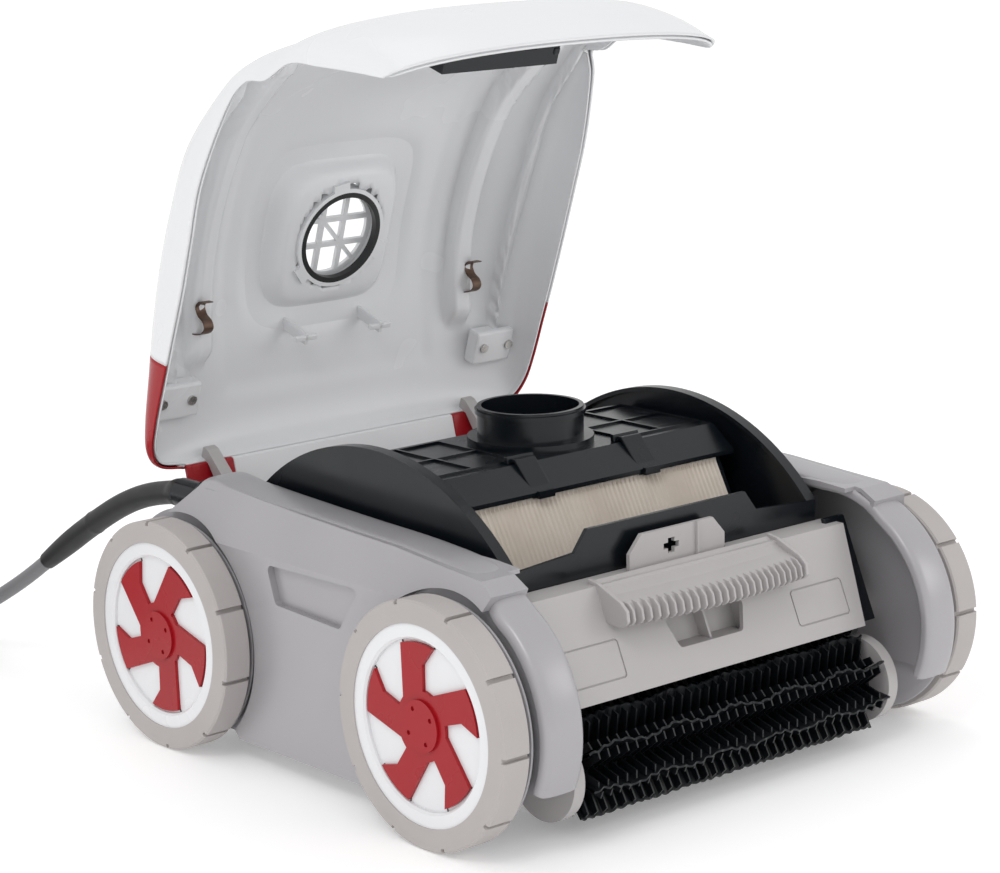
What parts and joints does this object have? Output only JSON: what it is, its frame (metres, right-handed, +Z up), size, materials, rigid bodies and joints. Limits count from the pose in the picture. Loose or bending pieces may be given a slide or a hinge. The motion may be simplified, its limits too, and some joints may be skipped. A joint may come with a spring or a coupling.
{
  "type": "pool cleaner",
  "caption": "Wheeled robotic pool cleaner with a raised rear-hinged hood, lift-out pleated filter cassette, rubber brush roller and floating cable.",
  "frame": {"origin": "on the floor, midway between the four wheels", "axes": "+Z up, +Y towards the hood hinge and the cable, -Y towards the brush and the handle, +X across the machine"},
  "size_m": [0.6663, 0.8735, 0.5062],
  "materials": {
    "silver_grey_abs": "satin moulded grey with a fine metallic look",
    "warm_grey_abs": "fine moulded texture",
    "white_abs": "glossy moulded white",
    "red_abs": "glossy moulded red",
    "black_pp": "moulded blue-black, half gloss",
    "grey_tpe": "moulded grey tread rubber",
    "black_pvc": "soft brush rubber",
    "pleated_paper": "pleated cream filter fabric",
    "black_rubber": "seal rubber",
    "stainless": "turned stainless steel",
    "brown_spring_steel": "tarnished spring steel",
    "grey_cable_jacket": "floating cable jacket",
    "acetal": "machined acetal"
  },
  "bodies": {
    "chassis": {"left_side_housing": "silver_grey_abs", "right_side_housing": "silver_grey_abs", "underbody_tray": "warm_grey_abs", "filter_basin": "black_pp", "front_panel": "warm_grey_abs", "carry_handle": "warm_grey_abs", "rear_panel": "warm_grey_abs", "hinge_pins": "stainless", "motor_housing": "black_pp", "axle_bushes": "acetal", "drive_belts": "black_rubber", "left_brush_bracket": "warm_grey_abs", "right_brush_bracket": "warm_grey_abs", "cable_gland": "black_pp", "cable_sleeve": "black_rubber", "cable": "grey_cable_jacket", "cable_coil": "grey_cable_jacket", "cable_tie": "black_rubber", "cable_connector": "black_pp"},
    "hood": {"hood_shell": "white_abs", "left_hood_trim": "red_abs", "right_hood_trim": "red_abs", "outlet_ring": "warm_grey_abs", "outlet_seal": "black_rubber", "outlet_grille": "white_abs", "hinge_arms": "warm_grey_abs", "latch_block": "black_pp", "left_hold_down_clip": "brown_spring_steel", "right_hold_down_clip": "brown_spring_steel", "hood_screws": "stainless", "screw_bosses": "white_abs"},
    "latch": {"latch_lever": "black_pp"},
    "filter_cassette": {"cassette_lid": "black_pp", "cassette_frame": "black_pp", "front_cartridge": "pleated_paper", "rear_cartridge": "pleated_paper", "cassette_clips": "black_pp"},
    "brush": {"brush_core": "black_pp", "brush_fins": "black_pvc"},
    "pump_rotor": {"pump_shaft": "stainless", "impeller": "black_pp"},
    "front_flap": {"front_intake_flap": "black_pp"},
    "rear_flap": {"rear_intake_flap": "black_pp"},
    "left_front_wheel": {"left_front_tyre": "grey_tpe", "left_front_rim": "white_abs", "left_front_wheel_star": "red_abs", "left_front_axle": "stainless"},
    "left_rear_wheel": {"left_rear_tyre": "grey_tpe", "left_rear_rim": "white_abs", "left_rear_wheel_star": "red_abs", "left_rear_axle": "stainless"},
    "right_front_wheel": {"right_front_tyre": "grey_tpe", "right_front_rim": "white_abs", "right_front_wheel_star": "red_abs", "right_front_axle": "stainless"},
    "right_rear_wheel": {"right_rear_tyre": "grey_tpe", "right_rear_rim": "white_abs", "right_rear_wheel_star": "red_abs", "right_rear_axle": "stainless"}
  },
  "joints": [
    {"name": "hood_hinge", "type": "hinge", "parent": "chassis", "child": "hood", "pos_m": [0, 0.164, 0.137], "axis": [1, 0, 0], "range_deg": [0, 72]},
    {"name": "latch_pivot", "type": "hinge", "parent": "hood", "child": "latch", "pos_m": [0, 0.02341, 0.48877], "axis": [1, 0, 0], "range_deg": [-12, 0], "stiffness_Nm_per_rad": 0.3, "springref_deg": 11.46},
    {"name": "cassette_lift", "type": "slide", "parent": "chassis", "child": "filter_cassette", "axis": [0, 0, -1], "range_m": [-0.15, 0]},
    {"name": "left_front_wheel_spin", "type": "hinge", "parent": "chassis", "child": "left_front_wheel", "pos_m": [-0.2, -0.141, 0.08], "axis": [1, 0, 0], "continuous": true},
    {"name": "left_rear_wheel_spin", "type": "hinge", "parent": "chassis", "child": "left_rear_wheel", "pos_m": [-0.2, 0.141, 0.08], "axis": [1, 0, 0], "continuous": true},
    {"name": "right_front_wheel_spin", "type": "hinge", "parent": "chassis", "child": "right_front_wheel", "pos_m": [0.2, -0.141, 0.08], "axis": [1, 0, 0], "continuous": true},
    {"name": "right_rear_wheel_spin", "type": "hinge", "parent": "chassis", "child": "right_rear_wheel", "pos_m": [0.2, 0.141, 0.08], "axis": [1, 0, 0], "continuous": true},
    {"name": "brush_spin", "type": "hinge", "parent": "chassis", "child": "brush", "pos_m": [0, -0.178, 0.041], "axis": [1, 0, 0], "continuous": true},
    {"name": "pump_spin", "type": "hinge", "parent": "chassis", "child": "pump_rotor", "pos_m": [0, -0.003, 0.15], "axis": [0, 0, 1], "continuous": true},
    {"name": "front_flap_hinge", "type": "hinge", "parent": "chassis", "child": "front_flap", "pos_m": [0, -0.096, 0.0214], "axis": [1, 0, 0], "range_deg": [0, 60]},
    {"name": "rear_flap_hinge", "type": "hinge", "parent": "chassis", "child": "rear_flap", "pos_m": [0, 0.096, 0.0214], "axis": [-1, 0, 0], "range_deg": [0, 60]}
  ],
  "couplings": [
    {"joint": "left_rear_wheel_spin", "follows": "left_front_wheel_spin", "ratio": 1},
    {"joint": "right_rear_wheel_spin", "follows": "right_front_wheel_spin", "ratio": 1},
    {"joint": "brush_spin", "follows": "right_front_wheel_spin", "ratio": 1.5}
  ]
}
